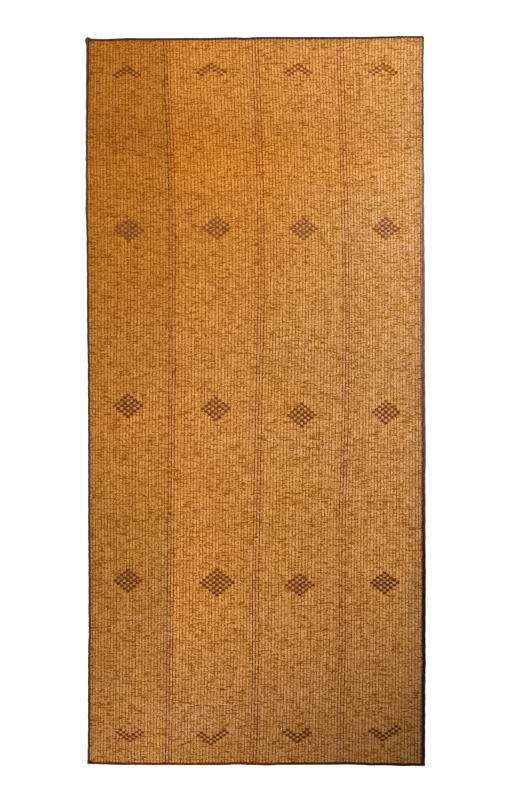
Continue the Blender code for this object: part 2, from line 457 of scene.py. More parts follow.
def make_mesh(name, points, faces):
    """A mesh from an array of points and arrays of faces with a like number of corners."""
    mesh = bpy.data.meshes.new(name)
    corners = np.concatenate([group.ravel() for group in faces])
    sizes = np.concatenate([np.full(len(group), group.shape[1]) for group in faces])
    mesh.vertices.add(len(points))
    mesh.vertices.foreach_set("co", np.asarray(points, np.float32).ravel())
    mesh.loops.add(len(corners))
    mesh.loops.foreach_set("vertex_index", corners.astype(np.int32))
    mesh.polygons.add(len(sizes))
    mesh.polygons.foreach_set("loop_start", (np.cumsum(sizes) - sizes).astype(np.int32))
    mesh.update(calc_edges=True)
    mesh.validate()
    mesh.shade_smooth()
    return mesh


def tube_faces(sections, sides, first):
    """The faces of one closed tube whose points start at a number: quads, and a face at each end."""
    ring = np.arange(sides)
    starts = first + np.arange(sections - 1)[:, None] * sides
    here, after = starts + ring, starts + np.roll(ring, -1)
    quads = np.stack([here, after, after + sides, here + sides], axis=-1).reshape(-1, 4)
    ends = np.stack([first + ring[::-1], first + (sections - 1) * sides + ring])
    return quads, ends


def make_tubes(name, tubes, values, material):
    """Many closed tubes joined in one piece.

    Each tube is an array of sections, sides and coordinates. The values are named lists with an array
    for each tube: one number for each of its points, or a colour.
    """
    quads, ends, first = [], [], 0
    for tube in tubes:
        sections, sides = tube.shape[:2]
        tube_quads, tube_ends = tube_faces(sections, sides, first)
        quads.append(tube_quads)
        ends.append(tube_ends)
        first += sections * sides
    points = np.concatenate([tube.reshape(-1, 3) for tube in tubes])
    mesh = make_mesh(name, points, quads + ends)
    for value_name, arrays in values.items():
        set_values(mesh, value_name, tubes, arrays)
    mesh.materials.append(material)
    made = bpy.data.objects.new(name, mesh)
    bpy.context.scene.collection.objects.link(made)
    return made


def set_values(mesh, name, tubes, arrays):
    """Keeps a number or a colour on each point of the tubes, for the materials."""
    colours = np.shape(arrays[0])[-1:] == (3,)
    spread = []
    for tube, array in zip(tubes, arrays):
        shape = tube.shape if colours else tube.shape[:2]
        spread.append(np.broadcast_to(array, shape).reshape(-1, shape[-1] if colours else 1))
    flat = np.concatenate(spread).astype(np.float32)
    kept = mesh.attributes.new(name, "FLOAT_VECTOR" if colours else "FLOAT", "POINT")
    kept.data.foreach_set("vector" if colours else "value", flat.ravel())


# Motifs.

# Which cells are dark: the column and row of each, counted from the motif's middle or tip.
DIAMOND_REACH = 4
LARGE_DIAMOND_REACH = 5


def diamond_cells(reach):
    steps = range(-reach, reach + 1)
    return [(c, r) for r in steps for c in steps if abs(c) + abs(r) <= reach and (c + r - reach) % 2 == 0]


def chevron_cells(right_arm=0):
    """Two nested chevrons with the tip in row 0. The right arm may be some cells longer."""
    cells = []
    for side in (-1, 1):
        longer = right_arm if side > 0 else 0
        cells += [(side * step, step) for step in range(5 + longer)]
        cells += [(side * step, step + 2) for step in range(4 + longer)]
    return sorted(set(cells))


# Each motif: its panel, how many columns it lies right of the panel's middle, the place of its middle or
# tip along the mat and the height of a row, both in millimetres, which way its rows run, its cells, and how
# light its leather is.
DOWN, UP = -1, 1
DIAMOND, LARGE_DIAMOND = diamond_cells(DIAMOND_REACH), diamond_cells(LARGE_DIAMOND_REACH)
CHEVRON, LONG_CHEVRON = chevron_cells(), chevron_cells(1)
MOTIFS = (
    (0, 0, 1739.4, 11.2, DOWN, CHEVRON, 1.04),
    (1, 0, 1752.9, 11.2, DOWN, CHEVRON, 1.02),
    (2, 0, 1750.3, 11.2, DOWN, CHEVRON, 1.02),
    (3, 0, 1753.4, 11.2, DOWN, CHEVRON, 1.08),
    (0, 0, 886.1, 13.0, DOWN, DIAMOND, 1.13),
    (1, 0, 901.7, 13.5, DOWN, DIAMOND, 1.14),
    (2, 0, 895.4, 13.3, DOWN, DIAMOND, 1.14),
    (3, 0, 897.0, 13.3, DOWN, DIAMOND, 1.14),
    (0, 0, -24.4, 14.3, DOWN, DIAMOND, 0.95),
    (1, 0, -40.0, 14.1, DOWN, DIAMOND, 1.05),
    (2, 0, -72.3, 14.5, DOWN, DIAMOND, 1.03),
    (3, 0, -58.2, 14.2, DOWN, DIAMOND, 1.02),
    (0, 0, -932.9, 13.8, DOWN, DIAMOND, 0.94),
    (1, 1, -943.8, 13.2, DOWN, LARGE_DIAMOND, 0.93),
    (2, 0, -956.3, 12.9, DOWN, DIAMOND, 0.91),
    (3, 0, -944.8, 12.8, DOWN, DIAMOND, 0.78),
    (0, 1, -1767.5, 11.4, UP, CHEVRON, 0.95),
    (1, 0, -1783.1, 11.7, UP, LONG_CHEVRON, 0.88),
    (2, 0, -1772.7, 12.6, UP, CHEVRON, 0.88),
    (3, 0, -1762.3, 11.9, UP, LONG_CHEVRON, 0.78),
)
CHEVRON_MIDDLE_ROW = 2.5
MEAN_BRIGHT = 0.5

# How far the leather patches stray along the mat in millimetres, how much they vary in height and in tone,
# and how much lower or higher their crowns may be.
PATCH_STRAY = 0.35
PATCH_HEIGHTS = (0.92, 1.1)
PATCH_TONES = (0.88, 1.08)
PATCH_CROWNS = (-0.2 * MM, 0.15 * MM)

# Where a patch has its sections between the two laces.
PATCH_STATIONS = (0, 0.14, 0.5, 0.86, 1)


def panel_middle(panel):
    """The middle of a panel's middle column, as a number of columns."""
    return COUNTS[2 * panel] + COLUMNS_PER_PANEL / 2


def patch_rings(column, y, height, crown):
    """One leather patch over a column between two laces, its ends tucked under them."""
    left, right = (float(lace_x(number, np.array(y))) for number in (column, column + 1))
    left, right = left + PATCH_TUCK, right - PATCH_TUCK
    rings = []
    for share in PATCH_STATIONS:
        arch = math.sin(math.pi * (0.12 + 0.76 * share)) ** 0.6
        half = height / 2 * (0.84 + 0.16 * arch)
        top = PATCH_EDGE_TOP + (crown - PATCH_EDGE_TOP) * (2 * arch - 1)
        section = (
            (-half, PATCH_BOTTOM),
            (half, PATCH_BOTTOM),
            (half, top - PATCH_BEVEL / 2),
            (half - PATCH_BEVEL, top),
            (-half + PATCH_BEVEL, top),
            (-half, top - PATCH_BEVEL / 2),
        )
        x = left + share * (right - left)
        rings.append([(x, y + off, z) for off, z in section])
    return np.array(rings)


def build_motifs(material):
    """The leather patches of every motif, joined in one piece."""
    rng = np.random.default_rng(MOTIF_SEED)
    tubes, tones, shades = [], [], []
    for panel, shift, place, row_height, way, cells, light in MOTIFS:
        for c, r in cells:
            column = int(panel_middle(panel)) + shift + c
            y = (place + way * r * row_height + rng.normal(0, PATCH_STRAY)) * MM
            height = PATCH_HEIGHT_SHARE * row_height * rng.uniform(*PATCH_HEIGHTS) * MM
            tubes.append(patch_rings(column, y, height, PATCH_CROWN + rng.uniform(*PATCH_CROWNS)))
            tones.append(np.full((1, 1), light * rng.uniform(*PATCH_TONES)))
            shades.append(field_drift(tubes[-1][..., 0], tubes[-1][..., 1])[..., 0] / MEAN_BRIGHT)
    return make_tubes("motif_leather", tubes, {"tone": tones, "shade": shades}, material)


# Reeds.

# A reed's outline: how far along the mat as a share of half its width, and how high as a share of half
# its height, and how near each point is to the crest.
REED_SECTION = np.array((
    (-1.0, 0.0, 0.0),
    (-0.54, -1.0, 0.6),
    (0.54, -1.0, 0.6),
    (1.0, 0.0, 0.0),
    (0.54, 1.0, 1.0),
    (-0.54, 1.0, 1.0),
))


def reed_lines():
    """The lines between the reeds, as shares of the mat's length from its bottom end."""
    rng = np.random.default_rng(REED_WIDTH_SEED)
    widths = rng.uniform(1 - REED_SPREAD, 1 + REED_SPREAD, REEDS)
    return np.concatenate([[0], np.cumsum(widths)]) / widths.sum()


STATIONS_PER_PANEL = 4


def reed_stations():
    """The columns at which a reed has its sections, evenly spread over each panel."""
    starts, ends = COUNTS[0::2], COUNTS[1::2]
    stations = np.concatenate([np.linspace(a, b, STATIONS_PER_PANEL) for a, b in zip(starts, ends)])
    stations[0] -= LEFT_RUN_ON
    return stations


def motif_place(panel, y):
    """The nearest motif of a panel: how many rows above or below it a place is, its reach and its shift."""
    rows, reaches, shifts = [], [], []
    for number, shift, place, row_height, way, cells, _ in MOTIFS:
        if number != panel:
            continue
        chevron = cells in (CHEVRON, LONG_CHEVRON)
        middle = place + way * row_height * (CHEVRON_MIDDLE_ROW if chevron else 0)
        rows.append((y / MM - middle) / row_height)
        reaches.append(0.0 if chevron else max(c for c, _ in cells))
        shifts.append(shift)
    rows = np.array(rows)
    nearest = np.abs(rows).argmin(axis=0)
    return rows[nearest, np.arange(rows.shape[1])], np.array(reaches)[nearest], np.array(shifts)[nearest]


def station_values(columns, x, y):
    """What the reeds' material reads at their stations: the column, the colour and the nearest motif."""
    rows, reaches, shifts = np.zeros(x.shape), np.zeros(x.shape), np.zeros(x.shape)
    for i in range(len(columns)):
        rows[:, i], reaches[:, i], shifts[:, i] = motif_place(i // STATIONS_PER_PANEL, y[:, i])
    middles = np.repeat([panel_middle(panel) for panel in range(PANELS)], STATIONS_PER_PANEL)
    return {
        "column": np.broadcast_to(columns, x.shape),
        "drift": field_drift(x, y),
        "motif_row": rows,
        "motif_reach": reaches,
        "motif_column": columns - middles - shifts,
    }


def build_reeds(lines, material):
    """Every reed as a six-sided rod, from edge to edge of the mat."""
    rng = np.random.default_rng(REED_SEED)
    middles = (lines[:-1] + lines[1:]) / 2
    halves = (lines[1:] - lines[:-1]) / 2 * (ENDS[2, TOP] - ENDS[2, BOTTOM]) * MM * REED_LAP
    columns = reed_stations()
    x, y = weave_point(columns[None, :], middles[:, None])
    sag = rng.normal(0, REED_SAG_SPREAD, x.shape)
    middle_z, half_z = (REED_TOP + REED_BOTTOM) / 2, (REED_TOP - REED_BOTTOM) / 2
    heights = half_z * rng.uniform(REED_LEAST_HEIGHT, 1.0, REEDS)
    tubes = []
    for i in range(REEDS):
        ring_y = y[i, :, None] + REED_SECTION[:, 0] * halves[i]
        ring_z = middle_z + sag[i, :, None] + REED_SECTION[:, 1] * heights[i]
        ring_x = np.broadcast_to(x[i, :, None], ring_y.shape)
        tubes.append(np.stack([ring_x, ring_y, ring_z], axis=-1))
    values = {"reed": list(np.arange(REEDS).reshape(-1, 1, 1)), "crest": [REED_SECTION[None, :, 2]] * REEDS}
    for name, at_stations in station_values(columns, x, y).items():
        values[name] = list(at_stations[:, :, None])
    return make_tubes("reeds", tubes, values, material)


# Laces.


def lace_shares(lines, over, rng):
    """Where a lace has its sections along the mat, and which of them are under a reed."""
    fewest, most = over
    lead = LACE_LEAD / (2 * HALF_LENGTH)
    shares, under = [LACE_END_SHARE], [False]
    reed = int(rng.integers(2, most + 1))
    while reed < REEDS - 2:
        shares += [lines[reed] - lead, (lines[reed] + lines[reed + 1]) / 2, lines[reed + 1] + lead]
        under += [False, True, False]
        reed += int(rng.integers(fewest, most + 1)) + 1
    return np.array(shares + [1 - LACE_END_SHARE]), np.array(under + [False])


def motif_stain(column, y):
    """How much darker a lace is where it crosses a motif, from the dark leather beside it."""
    panel = int(np.clip((column - 1) // (COLUMNS_PER_PANEL + STRIPE_LACES - 1), 0, PANELS - 1))
    rows, reaches, shifts = motif_place(panel, y)
    inside = reaches + 0.6 - np.abs(rows) - np.abs(column - panel_middle(panel) - shifts)
    return 1 - MOTIF_STAIN * smoothstep(-0.3, 0.3, inside)


def build_laces(name, columns, lines, seed, material):
    """The laces of one panel or of the stripes, joined in one piece."""
    rng = np.random.default_rng(seed)
    tubes, tones, colours, dives = [], [], [], []
    for column in columns:
        striped = in_stripe(column)
        shares, under = lace_shares(lines, STRIPE_OVER if striped else FIELD_OVER, rng)
        _, y = weave_point(np.full(shares.shape, column), shares)
        x = lace_x(column, y)
        top = STRIPE_LACE_TOP if striped else LACE_TOP
        half = (STRIPE_LACE_WIDTH if striped else LACE_WIDTH) / 2
        half = half * rng.uniform(*LACE_WIDTHS) * rng.uniform(*RUN_WIDTHS, len(y))
        half = half * np.where(under, WIDTH_UNDER, 1)
        low = np.where(under, LACE_UNDER, top - LACE_THICKNESS) + rng.uniform(0, LACE_LIFT, len(y))
        high = low + LACE_THICKNESS * rng.uniform(LACE_LEAST_THICKNESS, 1.0, len(y))
        corners = ((-1, low), (1, low), (LACE_TOP_SHARE, high), (-LACE_TOP_SHARE, high))
        sides = [np.stack([x + side * half, y, z], axis=-1) for side, z in corners]
        tubes.append(np.stack(sides, axis=1))
        run_tones = rng.uniform(*RUN_TONES, len(y))
        tones.append((rng.uniform(*LACE_TONES) * run_tones[np.cumsum(under)])[:, None])
        colours.append((field_drift(x, y) * motif_stain(column, y)[:, None])[:, None, :])
        dives.append(under.astype(float)[:, None])
    return make_tubes(name, tubes, {"tone": tones, "drift": colours, "dive": dives}, material)


# Binding and stitches.


# The fine ripple of the side edges: its height, and its two waves in radians to the metre, each with how far
# the start below shifts it and its share of the height.
RIPPLE = 0.45 * MM
RIPPLE_WAVES = ((67.0, 2.3, 1.0), (143.0, 1.0, 0.7))
RIPPLE_STARTS = {LEFT: 0.7, RIGHT: 2.1}


def side_edge(side, y):
    """The mat's outer edge on one side, with its small waves, at places along it."""
    start = RIPPLE_STARTS[side]
    ripple = sum(share * np.sin(y * turn + shift * start) for turn, shift, share in RIPPLE_WAVES)
    return along(side, y) + waves(LEFT_WAVES if side == LEFT else RIGHT_WAVES, y) + RIPPLE * ripple


def end_edge(end, x):
    """The mat's outer edge at one end, with its small waves, at places across it."""
    return at_end(end, end, x) + waves(TOP_WAVES if end == TOP else BOTTOM_WAVES, x)


def strip_section(width, puff, lift, closed):
    """The folded leather in section: how far in from the edge and how high, outside and then inside.

    A closed section, at a strip's end, has no room inside the fold.
    """
    height = BINDING_HEIGHT + lift
    outside = [
        (width, 0.1 * MM),
        (0.6 * width, 0.0),
        (2.4 * MM, 0.0),
        (1.0 * MM, 0.45 * MM),
        (0.25 * MM - puff, 1.4 * MM),
        (-puff, 2.7 * MM),
        (0.25 * MM - puff, 4.0 * MM),
        (1.0 * MM, height - 0.45 * MM),
        (2.4 * MM, height),
        (0.6 * width, height + 0.1 * MM),
        (width - 0.9 * MM, height - 0.1 * MM),
        (width, height - 0.5 * MM),
    ]
    inside = [
        (width - 0.1 * MM, height - LEATHER - 0.15 * MM),
        (2.2 * MM, height - LEATHER),
        (LEATHER + 0.1 * MM, 2.7 * MM),
        (2.2 * MM, LEATHER),
        (width - 0.1 * MM, LEATHER),
    ]
    if closed:
        inside = [(width - 0.1 * MM, height) for _, height in inside]
    return np.array(outside + inside)


# How near each point of the section is to the binding's inner edge.
STRIP_ACROSS = np.array([1, 0.6, 0.2, 0.1, 0, 0, 0, 0.1, 0.2, 0.6, 0.9, 1, 1, 0.2, 0, 0.2, 1])

# The strip's puff at its outer edge and its lift: the mean, how much less each is at a stitch, and its
# spread from place to place. The last is the spread of the strip's width.
PUFF = (0.8 * MM, 0.35 * MM, 0.12 * MM)
LIFT = (-0.15 * MM, 0.2 * MM, 0.06 * MM)
WIDTH_SPREAD = 0.35 * MM


def strip_rings(edges, widths, directions, rng):
    """A folded strip's sections, drawn in at each stitch and puffed out between them."""
    count = len(edges)
    drawn = np.cos(2 * math.pi * np.arange(count) / STATIONS_PER_STITCH)
    draws = [mean - less * drawn + rng.normal(0, spread, count) for mean, less, spread in (PUFF, LIFT)]
    puffs, lifts = draws
    widths = widths + rng.normal(0, WIDTH_SPREAD, count)
    ends = np.arange(count) % (count - 1) == 0
    rings = []
    for edge, width, way, puff, lift, closed in zip(edges, widths, directions, puffs, lifts, ends):
        section = strip_section(width, puff, lift, closed)
        flat = np.array(edge)[None, :] + section[:, :1] * np.array(way)[None, :]
        rings.append(np.column_stack([flat, section[:, 1]]))
    return np.array(rings)


def strip_places(low, high):
    """Even places along a strip, with a whole number of stitches."""
    stitches = round((high - low) / STITCH_PITCH)
    return np.linspace(low, high, stitches * STATIONS_PER_STITCH + 1)


def round_corners(places, low, high):
    """How far the edge is drawn in near the two ends of a side, for a rounded corner."""
    drawn_in = np.zeros(len(places))
    for near, radius in ((places - low, BOTTOM_CORNER_RADIUS), (high - places, CORNER_RADIUS)):
        inside = np.clip(1 - near / radius, 0, 1)
        drawn_in += radius * (1 - np.sqrt(1 - inside**2))
    return drawn_in


def side_strip(side):
    """The edge points, widths and inward directions of a side strip."""
    row = ENDS[0] if side == LEFT else ENDS[-1]
    way = 1 if side == LEFT else -1
    low, high = row[BOTTOM] * MM, row[TOP] * MM
    y = strip_places(low, high)
    x = side_edge(side, y) + way * round_corners(y, low, high)
    up = y / HALF_LENGTH
    if side == LEFT:
        widths = along(LEFT_BINDING, y) + TOP_LEFT_CURL * smoothstep(*LEFT_CURL_PLACE, up)
    else:
        widths = along(RIGHT_BINDING, y) + blend(*RIGHT_CURL, smoothstep(*RIGHT_CURL_PLACE, up))
    return np.column_stack([x, y]), widths, np.tile((way, 0.0), (len(y), 1))


def end_strip(end):
    """The edge points, widths and inward directions of an end strip, which runs in under the sides."""
    way = -1 if end == TOP else 1
    level = ENDS[0, end] * MM, ENDS[-1, end] * MM
    left = along(LEFT, np.array(level[0])) + END_STRIP_TUCK * along(LEFT_BINDING, np.array(level[0]))
    right = along(RIGHT, np.array(level[1])) - END_STRIP_TUCK * along(RIGHT_BINDING, np.array(level[1]))
    x = strip_places(float(left), float(right))
    first, last = END_CURL[end]
    curl = first + (last - first) * smoothstep(-HALF_WIDTH, HALF_WIDTH, x)
    widths = at_end(end, TOP_BINDING if end == TOP else BOTTOM_BINDING, x) + curl
    return np.column_stack([x, end_edge(end, x)]), widths, np.tile((0.0, way), (len(x), 1))


# The binding's colours: the top strip's, the bottom strip's from left to right, the left strip's from below
# to above, and the right strip's three from the bottom up.
TOP_BROWN = linear(74, 36, 13)
BOTTOM_BROWNS = (linear(76, 40, 20), linear(36, 18, 10))
LEFT_BROWNS = (linear(64, 45, 35), linear(78, 57, 44))
# the right strip's slate grey is a painted sheen on its black leather
RIGHT_BLACK, RIGHT_SHEEN_SLATE, RIGHT_TAN = linear(22, 15, 14), linear(104, 94, 88), linear(84, 62, 46)

# Where one gives way to the next: along the mat in shares of half its length, or across it in metres. The
# painted sheen on the right strip gets lighter on the way.
BOTTOM_TO_TOP = (-0.5, 0.5)
BOTTOM_CHANGE = (-0.3, 0.6)
LEFT_CHANGE = (0.2, 0.7)
BLACK_TO_SHEEN_SLATE = (-0.55, 0.25)
SHEEN_SLATE_RAMPS = ((0.2, 0.4, 0.35),)
SHEEN_SLATE_TO_TAN = (0.55, 0.75)
LEFT_STRIP = (-0.8, -0.87)
RIGHT_STRIP = (0.8, 0.87)
END_STRIPS = (0.985, 0.995)


def binding_drift(x, y):
    """The binding's mean colour at places on it, as linear red, green and blue."""
    x, up = x[..., None], (y / HALF_LENGTH)[..., None]
    ends = blend(*BOTTOM_BROWNS, smoothstep(*BOTTOM_CHANGE, x))
    ends = blend(ends, TOP_BROWN, smoothstep(*BOTTOM_TO_TOP, up))
    left = blend(*LEFT_BROWNS, smoothstep(*LEFT_CHANGE, up))
    # painted sheen on the right strip's black leather, lighter higher up
    sheen_slate = np.array(RIGHT_SHEEN_SLATE) * (1 + ramps(SHEEN_SLATE_RAMPS, up))
    right = blend(RIGHT_BLACK, sheen_slate, smoothstep(*BLACK_TO_SHEEN_SLATE, up))
    right = blend(right, RIGHT_TAN, smoothstep(*SHEEN_SLATE_TO_TAN, up))
    beside = 1 - smoothstep(*END_STRIPS, np.abs(up))
    tone = blend(ends, left, beside * smoothstep(*LEFT_STRIP, x))
    return blend(tone, right, beside * smoothstep(*RIGHT_STRIP, x))


# The painted shade at the binding's inner edge: its colour against the outer edge's, in linear red, green
# and blue, and where it starts, as the section gives it. How much the tone strays along a strip, and how
# fast.
INNER_SHADE_TINT = (0.7, 0.42, 0.42)
INNER_SHADE_START = (0.15, 0.6)
STRIP_TONE = 0.12
STRIP_TONE_STEP = 0.5


def build_strip(name, strip, seed, material):
    """One folded strip of the binding."""
    edges, widths, directions = strip
    rng = np.random.default_rng(seed)
    rings = strip_rings(edges, widths, directions, rng)
    # painted shade towards the binding's inner edge, tinted red
    inner = smoothstep(*INNER_SHADE_START, STRIP_ACROSS)[:, None]
    colours = binding_drift(rings[..., 0], rings[..., 1]) * (1 + inner * (np.array(INNER_SHADE_TINT) - 1))
    tone = 1 + STRIP_TONE * np.sin(np.cumsum(rng.normal(0, STRIP_TONE_STEP, len(edges))))
    values = {"drift": [colours], "tone": [tone[:, None]], "across": [STRIP_ACROSS[None, :]]}
    return make_tubes(name, [rings], values, material)


# A stitch's half width, how far it leans along the edge, how thick it is, and its tones. Its path starts
# past the binding's inner edge: how many of the binding's widths it lies in from the mat's edge and how much
# further, its height, and its share of the lean.
STITCH_HALVES = (0.8 * MM, 1.15 * MM)
STITCH_LEANS = (1.5 * MM, 4.5 * MM)
STITCH_THICKNESS = 0.55 * MM
STITCH_TONES = (0.6, 1.0)
STITCH_PATH = (
    (1.0, 2.6 * MM, 4.3 * MM, 0.0),
    (1.0, 1.6 * MM, 5.3 * MM, 0.2),
    (1.0, -0.4 * MM, 5.85 * MM, 0.5),
    (0.55, 0.0, 5.95 * MM, 0.8),
    (0.42, 0.0, 5.2 * MM, 1.0),
)


def stitch_rings(edge, way, width, lean, rng):
    """One leather stitch over the binding's inner edge."""
    across = np.array((-way[1], way[0]))
    half = rng.uniform(*STITCH_HALVES)
    rings = []
    for widths, further, height, slide in STITCH_PATH:
        inward = widths * width + further
        middle = np.array(edge) + inward * np.array(way) + lean * slide * across
        for_side = [middle - half * across, middle + half * across]
        low, high = height - STITCH_THICKNESS, height
        ring = [(*for_side[0], low), (*for_side[1], low), (*for_side[1], high), (*for_side[0], high)]
        rings.append(ring)
    return np.array(rings)


def build_stitches(strips, material):
    """Every stitch of the binding, joined in one piece."""
    rng = np.random.default_rng(STITCH_SEED)
    tubes, colours, tones = [], [], []
    for edges, widths, directions in strips:
        for i in range(STATIONS_PER_STITCH, len(edges) - 1, STATIONS_PER_STITCH):
            lean = rng.uniform(*STITCH_LEANS)
            rings = stitch_rings(edges[i], directions[i], widths[i], lean, rng)
            tubes.append(rings)
            colours.append(binding_drift(rings[..., 0], rings[..., 1]))
            tones.append(np.full((1, 1), rng.uniform(*STITCH_TONES)))
    return make_tubes("binding_stitches", tubes, {"drift": colours, "tone": tones}, material)


# The leather lapped over the top left corner: the place and height of its middle line, its half width and
# its half height, in millimetres.
CORNER_LAP = (
    (-878, 1850, 3.4, 4.4, 2.4),
    (-880, 1858, 3.3, 5.6, 3.0),
    (-881.5, 1868, 3.4, 5.8, 3.3),
    (-880.5, 1877, 3.5, 6.6, 3.5),
    (-875.5, 1884, 3.6, 6.8, 3.6),
    (-867, 1885.5, 3.5, 5.6, 3.4),
    (-858, 1881.5, 3.3, 4.6, 2.8),
    (-851, 1879.5, 3.2, 3.0, 2.2),
)

# The knot inside the bottom left corner, in the same way.
CORNER_KNOT = (
    (-872, -1873, 5.4, 2.4, 0.8),
    (-866, -1872, 5.6, 4.4, 1.3),
    (-859, -1873, 5.7, 5.2, 1.6),
    (-852, -1875, 5.6, 4.2, 1.3),
    (-845, -1877, 5.3, 2.6, 0.8),
)

# The colours of both, how finely they are made, how near the binding's inner edge their leather counts, the
# folds in them, and how bluntly they end.
LAP_COLOUR, KNOT_COLOUR = linear(58, 48, 28), linear(46, 28, 14)
LAP_STATIONS = 57
LAP_SIDES = 16
LAP_ACROSS = 0.3
LAP_FOLDS = ((0.07, 5.1, 0), (0.05, 9.7, 1))
LAP_BLUNTNESS = 8

# Ends of stitches that stick out past the bottom edge: place across the mat and reach, in millimetres. Then
# how far in they start, how far they stray to the right, their height, half width, sections and tone.
NUBS = (
    (-716, 1.6),
    (-684, 2.0),
    (-625, 4.6),
    (-322, 1.8),
    (-219, 1.6),
    (51, 1.8),
    (93, 3.4),
    (340, 1.4),
    (603, 1.8),
    (845, 1.6),
)
NUB_INSET = 2.5
NUB_STRAY = 0.5
NUB_HEIGHT = 2.6
NUB_HALF = 1.5 * MM
NUB_STATIONS = 6
NUB_SIDES = 8
NUB_TONE = 0.8


def rope_rings(middles, half_widths, half_heights, sides):
    """A soft rope's sections along a flat path, with closed round ends."""
    middles = np.asarray(middles, float)
    ahead = np.gradient(middles[:, :2], axis=0)
    ahead /= np.linalg.norm(ahead, axis=1)[:, None]
    across = np.column_stack([-ahead[:, 1], ahead[:, 0]])
    turn = 2 * math.pi * np.arange(sides) / sides
    flat = middles[:, None, :2] + across[:, None, :] * (np.cos(turn) * half_widths[:, None])[..., None]
    heights = middles[:, 2, None] + np.sin(turn) * half_heights[:, None]
    return np.concatenate([flat, np.maximum(heights, 0.0)[..., None]], axis=-1)


def build_corner_lap(name, rows, colour, material):
    """A soft roll of leather along a line of places, closed at both ends."""
    table = np.array(rows) * MM
    steps = np.linspace(0, len(table) - 1, LAP_STATIONS)
    smooth = np.column_stack([read_smooth(np.arange(len(table)), column, steps) for column in table.T])
    crumple = 1 + sum(depth * np.sin(steps * turn + start) for depth, turn, start in LAP_FOLDS)
    closing = np.sqrt(np.clip(1 - np.abs(steps / (len(table) - 1) * 2 - 1) ** LAP_BLUNTNESS, 0.02, 1))
    rings = rope_rings(smooth[:, :3], smooth[:, 3] * crumple * closing, smooth[:, 4] * closing, LAP_SIDES)
    colours = np.broadcast_to(np.array(colour), rings.shape)
    values = {"drift": [colours], "tone": [np.ones((1, 1))], "across": [np.full((1, 1), LAP_ACROSS)]}
    return make_tubes(name, [rings], values, material)


def build_nubs(material):
    """The stitch ends past the bottom edge, joined in one piece."""
    shares = np.linspace(0, 1, NUB_STATIONS)
    size = NUB_HALF * np.sqrt(np.clip(1.02 - shares**4, 0.02, 1))
    tubes, colours, tones = [], [], []
    for place, reach in NUBS:
        edge = float(end_edge(BOTTOM, np.array(place * MM))) / MM
        x = place + NUB_STRAY * shares
        y = edge + NUB_INSET - shares * (NUB_INSET + reach)
        middles = np.column_stack([x, y, np.full(NUB_STATIONS, NUB_HEIGHT)]) * MM
        rings = rope_rings(middles, size, size, NUB_SIDES)
        tubes.append(rings)
        colours.append(binding_drift(rings[..., 0], rings[..., 1]))
        tones.append(np.full((1, 1), NUB_TONE))
    return make_tubes("bottom_nubs", tubes, {"drift": colours, "tone": tones}, material)


# Materials.


# The range that most of a noise lies in.
NOISE_RANGE = (0.3, 0.7)


